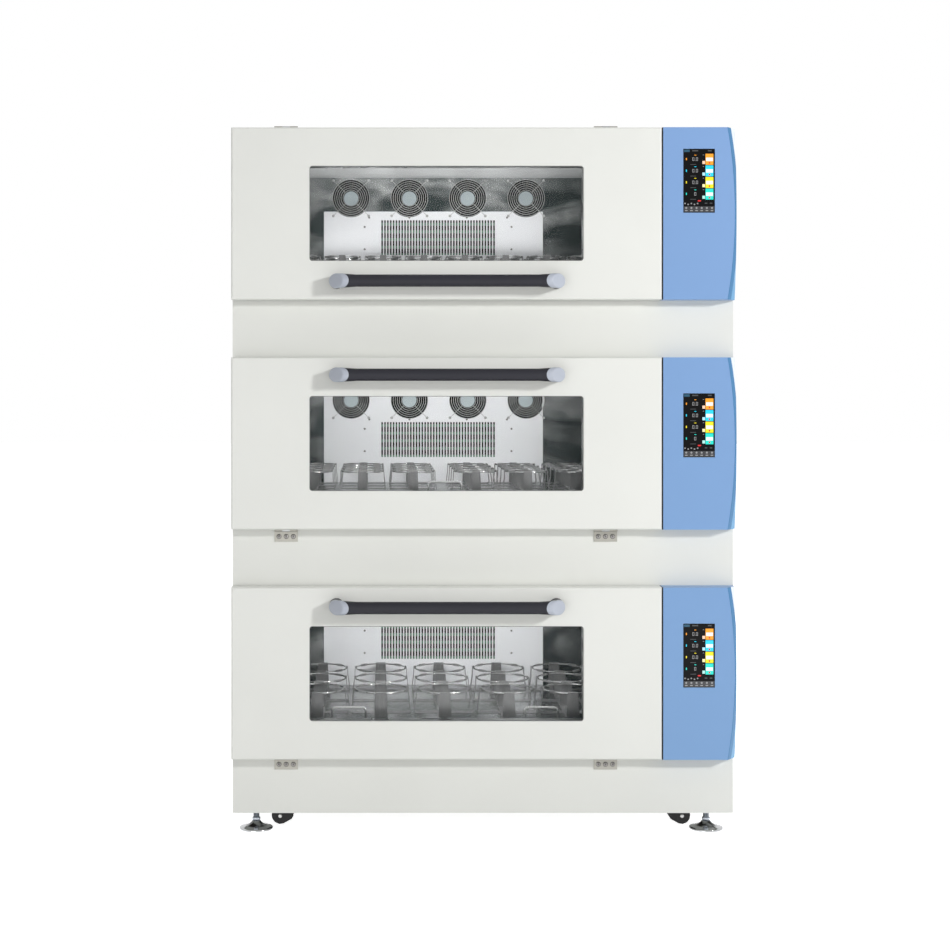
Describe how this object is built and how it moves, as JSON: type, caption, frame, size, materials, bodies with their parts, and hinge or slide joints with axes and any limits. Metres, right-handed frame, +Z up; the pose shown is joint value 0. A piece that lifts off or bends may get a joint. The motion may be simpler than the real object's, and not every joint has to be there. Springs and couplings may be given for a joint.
{
  "type": "stacked incubated orbital shaker",
  "caption": "Stack of incubated orbital shakers: steel cabinets with windowed flap doors, blue control covers and clamp trays carried round by a crank.",
  "frame": {"origin": "on the floor, at the middle of the bounding box in X and Y", "axes": "+X right seen from the front, +Y from the front to the rear, +Z up"},
  "size_m": [1.33, 0.842, 1.8843],
  "materials": {
    "cabinet_paint": "semi-gloss off-white powder coat",
    "door_paint": "semi-gloss off-white powder coat",
    "liner_steel": "bright stainless sheet",
    "tray_metal": "satin sheet",
    "clamp_steel": "bright stainless strip",
    "window_glass": "clear toughened glass",
    "handle_metal": "black anodised bar with satin ends",
    "seal_rubber": "soft black gasket",
    "cover_plastic": "smooth light blue moulding",
    "screen_face": "black glass-like face",
    "fan_plastic": "black fan mouldings",
    "guard_chrome": "plated wire",
    "coil_metal": "pale green coated bars",
    "hinge_metal": "satin nickel",
    "drive_iron": "grey machine enamel",
    "crank_steel": "ground steel",
    "caster_fork": "black enamel",
    "caster_tyre": "black moulded wheel",
    "foot_chrome": "bright plated steel"
  },
  "bodies": {
    "root": {"back_walls": "liner_steel", "heater_coils": "coil_metal", "fan_housings": "fan_plastic", "fan_guards": "guard_chrome", "door_seals": "seal_rubber", "frame_hinge_leaves": "hinge_metal", "control_covers": "cover_plastic", "touch_screens": "screen_face", "drive_motors": "drive_iron", "cabinet_bottom": "cabinet_paint", "chamber_bottom": "liner_steel", "cabinet_middle": "cabinet_paint", "chamber_middle": "liner_steel", "cabinet_top": "cabinet_paint", "chamber_top": "liner_steel"},
    "door_bottom": {"door_shell_bottom": "door_paint", "door_liner_bottom": "liner_steel", "door_window_bottom": "window_glass", "door_handle_bottom": "handle_metal"},
    "crank_bottom": {"drive_crank_bottom": "crank_steel"},
    "platform_bottom": {"platform_bottom": "tray_metal", "flask_clamps_bottom": "clamp_steel"},
    "fan_bottom_1": {"fan_rotor_bottom_1": "fan_plastic"},
    "fan_bottom_2": {"fan_rotor_bottom_2": "fan_plastic"},
    "fan_bottom_3": {"fan_rotor_bottom_3": "fan_plastic"},
    "fan_bottom_4": {"fan_rotor_bottom_4": "fan_plastic"},
    "door_middle": {"door_shell_middle": "door_paint", "door_liner_middle": "liner_steel", "door_window_middle": "window_glass", "door_handle_middle": "handle_metal"},
    "crank_middle": {"drive_crank_middle": "crank_steel"},
    "platform_middle": {"platform_middle": "tray_metal", "flask_clamps_middle": "clamp_steel"},
    "fan_middle_1": {"fan_rotor_middle_1": "fan_plastic"},
    "fan_middle_2": {"fan_rotor_middle_2": "fan_plastic"},
    "fan_middle_3": {"fan_rotor_middle_3": "fan_plastic"},
    "fan_middle_4": {"fan_rotor_middle_4": "fan_plastic"},
    "door_top": {"door_shell_top": "door_paint", "door_liner_top": "liner_steel", "door_window_top": "window_glass", "door_handle_top": "handle_metal"},
    "crank_top": {"drive_crank_top": "crank_steel"},
    "platform_top": {"platform_top": "tray_metal", "flask_clamps_top": "clamp_steel"},
    "fan_top_1": {"fan_rotor_top_1": "fan_plastic"},
    "fan_top_2": {"fan_rotor_top_2": "fan_plastic"},
    "fan_top_3": {"fan_rotor_top_3": "fan_plastic"},
    "fan_top_4": {"fan_rotor_top_4": "fan_plastic"},
    "foot_1": {"levelling_foot_1": "foot_chrome"},
    "foot_2": {"levelling_foot_2": "foot_chrome"},
    "foot_3": {"levelling_foot_3": "foot_chrome"},
    "foot_4": {"levelling_foot_4": "foot_chrome"},
    "swivel_1": {"caster_fork_1": "caster_fork"},
    "wheel_1": {"caster_wheel_1": "caster_tyre"},
    "swivel_2": {"caster_fork_2": "caster_fork"},
    "wheel_2": {"caster_wheel_2": "caster_tyre"},
    "swivel_3": {"caster_fork_3": "caster_fork"},
    "wheel_3": {"caster_wheel_3": "caster_tyre"},
    "swivel_4": {"caster_fork_4": "caster_fork"},
    "wheel_4": {"caster_wheel_4": "caster_tyre"}
  },
  "joints": [
    {"name": "door_bottom_swing", "type": "hinge", "parent": "root", "child": "door_bottom", "pos_m": [-0.0985, -0.2998, 0.2072], "axis": [1, 0, 0], "range_deg": [0, 90]},
    {"name": "crank_bottom_spin", "type": "hinge", "parent": "root", "child": "crank_bottom", "pos_m": [-0.0985, -0.006, 0.26], "axis": [0, 0, 1], "continuous": true},
    {"name": "platform_bottom_orbit", "type": "hinge", "parent": "crank_bottom", "child": "platform_bottom", "pos_m": [-0.0985, 0.007, 0.28], "axis": [0, 0, 1], "continuous": true},
    {"name": "fan_bottom_1_spin", "type": "hinge", "parent": "root", "child": "fan_bottom_1", "pos_m": [-0.36055, 0.308, 0.547], "axis": [0, 1, 0], "continuous": true},
    {"name": "fan_bottom_2_spin", "type": "hinge", "parent": "root", "child": "fan_bottom_2", "pos_m": [-0.18585, 0.308, 0.547], "axis": [0, 1, 0], "continuous": true},
    {"name": "fan_bottom_3_spin", "type": "hinge", "parent": "root", "child": "fan_bottom_3", "pos_m": [-0.01115, 0.308, 0.547], "axis": [0, 1, 0], "continuous": true},
    {"name": "fan_bottom_4_spin", "type": "hinge", "parent": "root", "child": "fan_bottom_4", "pos_m": [0.16355, 0.308, 0.547], "axis": [0, 1, 0], "continuous": true},
    {"name": "door_middle_swing", "type": "hinge", "parent": "root", "child": "door_middle", "pos_m": [-0.0985, -0.2998, 0.8122], "axis": [1, 0, 0], "range_deg": [0, 90]},
    {"name": "crank_middle_spin", "type": "hinge", "parent": "root", "child": "crank_middle", "pos_m": [-0.0985, -0.006, 0.865], "axis": [0, 0, 1], "continuous": true},
    {"name": "platform_middle_orbit", "type": "hinge", "parent": "crank_middle", "child": "platform_middle", "pos_m": [-0.0985, 0.007, 0.885], "axis": [0, 0, 1], "continuous": true},
    {"name": "fan_middle_1_spin", "type": "hinge", "parent": "root", "child": "fan_middle_1", "pos_m": [-0.36055, 0.308, 1.152], "axis": [0, 1, 0], "continuous": true},
    {"name": "fan_middle_2_spin", "type": "hinge", "parent": "root", "child": "fan_middle_2", "pos_m": [-0.18585, 0.308, 1.152], "axis": [0, 1, 0], "continuous": true},
    {"name": "fan_middle_3_spin", "type": "hinge", "parent": "root", "child": "fan_middle_3", "pos_m": [-0.01115, 0.308, 1.152], "axis": [0, 1, 0], "continuous": true},
    {"name": "fan_middle_4_spin", "type": "hinge", "parent": "root", "child": "fan_middle_4", "pos_m": [0.16355, 0.308, 1.152], "axis": [0, 1, 0], "continuous": true},
    {"name": "door_top_swing", "type": "hinge", "parent": "root", "child": "door_top", "pos_m": [-0.0985, -0.2998, 1.8798], "axis": [-1, 0, 0], "range_deg": [0, 90]},
    {"name": "crank_top_spin", "type": "hinge", "parent": "root", "child": "crank_top", "pos_m": [-0.0985, -0.006, 1.47], "axis": [0, 0, 1], "continuous": true},
    {"name": "platform_top_orbit", "type": "hinge", "parent": "crank_top", "child": "platform_top", "pos_m": [-0.0985, 0.007, 1.49], "axis": [0, 0, 1], "continuous": true},
    {"name": "fan_top_1_spin", "type": "hinge", "parent": "root", "child": "fan_top_1", "pos_m": [-0.36055, 0.308, 1.757], "axis": [0, 1, 0], "continuous": true},
    {"name": "fan_top_2_spin", "type": "hinge", "parent": "root", "child": "fan_top_2", "pos_m": [-0.18585, 0.308, 1.757], "axis": [0, 1, 0], "continuous": true},
    {"name": "fan_top_3_spin", "type": "hinge", "parent": "root", "child": "fan_top_3", "pos_m": [-0.01115, 0.308, 1.757], "axis": [0, 1, 0], "continuous": true},
    {"name": "fan_top_4_spin", "type": "hinge", "parent": "root", "child": "fan_top_4", "pos_m": [0.16355, 0.308, 1.757], "axis": [0, 1, 0], "continuous": true},
    {"name": "foot_1_screw", "type": "slide", "parent": "root", "child": "foot_1", "axis": [0, 0, 1], "range_m": [-0.02, 0]},
    {"name": "foot_2_screw", "type": "slide", "parent": "root", "child": "foot_2", "axis": [0, 0, 1], "range_m": [-0.02, 0]},
    {"name": "foot_3_screw", "type": "slide", "parent": "root", "child": "foot_3", "axis": [0, 0, 1], "range_m": [-0.02, 0]},
    {"name": "foot_4_screw", "type": "slide", "parent": "root", "child": "foot_4", "axis": [0, 0, 1], "range_m": [-0.02, 0]},
    {"name": "caster_1_swivel", "type": "hinge", "parent": "root", "child": "swivel_1", "pos_m": [-0.52, -0.205, 0.068], "axis": [0, 0, 1], "continuous": true},
    {"name": "caster_1_roll", "type": "hinge", "parent": "swivel_1", "child": "wheel_1", "pos_m": [-0.543, -0.205, 0.033], "axis": [0, 1, 0], "continuous": true},
    {"name": "caster_2_swivel", "type": "hinge", "parent": "root", "child": "swivel_2", "pos_m": [0.52, -0.205, 0.068], "axis": [0, 0, 1], "continuous": true},
    {"name": "caster_2_roll", "type": "hinge", "parent": "swivel_2", "child": "wheel_2", "pos_m": [0.543, -0.205, 0.033], "axis": [0, 1, 0], "continuous": true},
    {"name": "caster_3_swivel", "type": "hinge", "parent": "root", "child": "swivel_3", "pos_m": [-0.52, 0.275, 0.068], "axis": [0, 0, 1], "continuous": true},
    {"name": "caster_3_roll", "type": "hinge", "parent": "swivel_3", "child": "wheel_3", "pos_m": [-0.543, 0.275, 0.033], "axis": [0, 1, 0], "continuous": true},
    {"name": "caster_4_swivel", "type": "hinge", "parent": "root", "child": "swivel_4", "pos_m": [0.52, 0.275, 0.068], "axis": [0, 0, 1], "continuous": true},
    {"name": "caster_4_roll", "type": "hinge", "parent": "swivel_4", "child": "wheel_4", "pos_m": [0.543, 0.275, 0.033], "axis": [0, 1, 0], "continuous": true}
  ],
  "couplings": [
    {"joint": "platform_bottom_orbit", "follows": "crank_bottom_spin", "ratio": -1},
    {"joint": "platform_middle_orbit", "follows": "crank_middle_spin", "ratio": -1},
    {"joint": "platform_top_orbit", "follows": "crank_top_spin", "ratio": -1}
  ]
}
